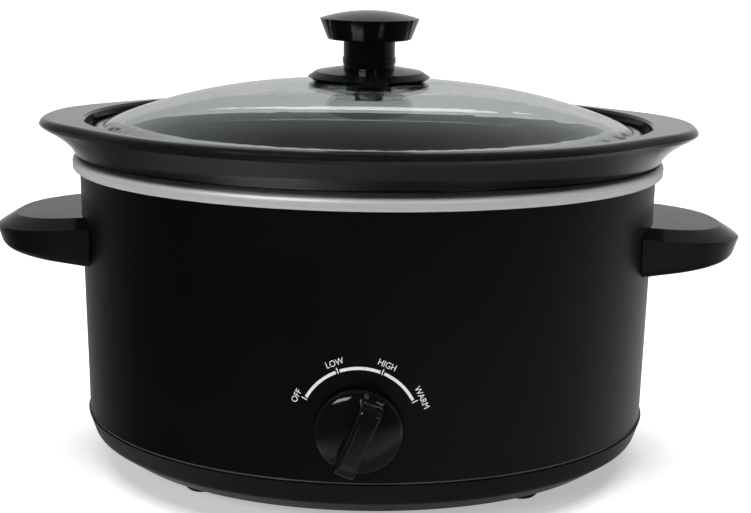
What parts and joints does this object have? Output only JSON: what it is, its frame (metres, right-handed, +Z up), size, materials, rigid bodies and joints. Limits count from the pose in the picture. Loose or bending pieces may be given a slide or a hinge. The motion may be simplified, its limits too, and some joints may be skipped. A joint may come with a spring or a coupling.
{
  "type": "slow cooker",
  "caption": "Oval slow cooker with a lift-out lugged stoneware crock, a domed glass lid with a round knob, side handles and a turning heat dial.",
  "frame": {"origin": "on the table, under the centre of the overall box", "axes": "+X towards the right-hand handle seen from the front, +Y towards the back, +Z up"},
  "size_m": [0.369, 0.2384, 0.226],
  "materials": {
    "shell_paint": "matte black enamel",
    "base_plastic": "satin moulded black",
    "gloss_black": "polished black",
    "silver_band": "satin silver",
    "liner": "dull pressed sheet",
    "stoneware": "gloss brown-black glaze",
    "glass": "clear tempered",
    "rubber": "matte",
    "steel": "zinc plated",
    "heater": "woven glass wrap",
    "fuse": "matte",
    "switch_body": "moulded phenolic"
  },
  "bodies": {
    "base": {"base_tray": "base_plastic", "feet": "rubber", "foot_screws": "steel", "outer_shell": "shell_paint", "rim_ring": "silver_band", "heating_well": "liner", "tie_stud": "steel", "tie_nut": "steel", "heat_shield": "liner", "heating_band": "heater", "band_strap": "steel", "band_screw": "steel", "thermal_fuse": "fuse", "fuse_clip": "steel", "rotary_switch": "switch_body", "switch_nut": "steel", "switch_leads": "rubber", "cord_gland": "rubber", "right_handle": "gloss_black", "left_handle": "gloss_black", "handle_screws": "steel"},
    "crock": {"stoneware_crock": "stoneware"},
    "lid": {"glass_lid": "glass", "lid_gaskets": "rubber", "knob_flange": "gloss_black", "lid_knob": "gloss_black", "lid_screw": "steel"},
    "dial": {"control_knob": "gloss_black", "switch_shaft": "steel"}
  },
  "joints": [
    {"name": "crock_lift", "type": "slide", "parent": "base", "child": "crock", "axis": [0, 0, 1], "range_m": [0, 0.15]},
    {"name": "lid_lift", "type": "slide", "parent": "crock", "child": "lid", "axis": [0, 0, 1], "range_m": [0, 0.08]},
    {"name": "dial_turn", "type": "hinge", "parent": "base", "child": "dial", "pos_m": [0, -0.10125, 0.0529], "axis": [0, -1, 0], "range_deg": [-42.5, 85]}
  ]
}
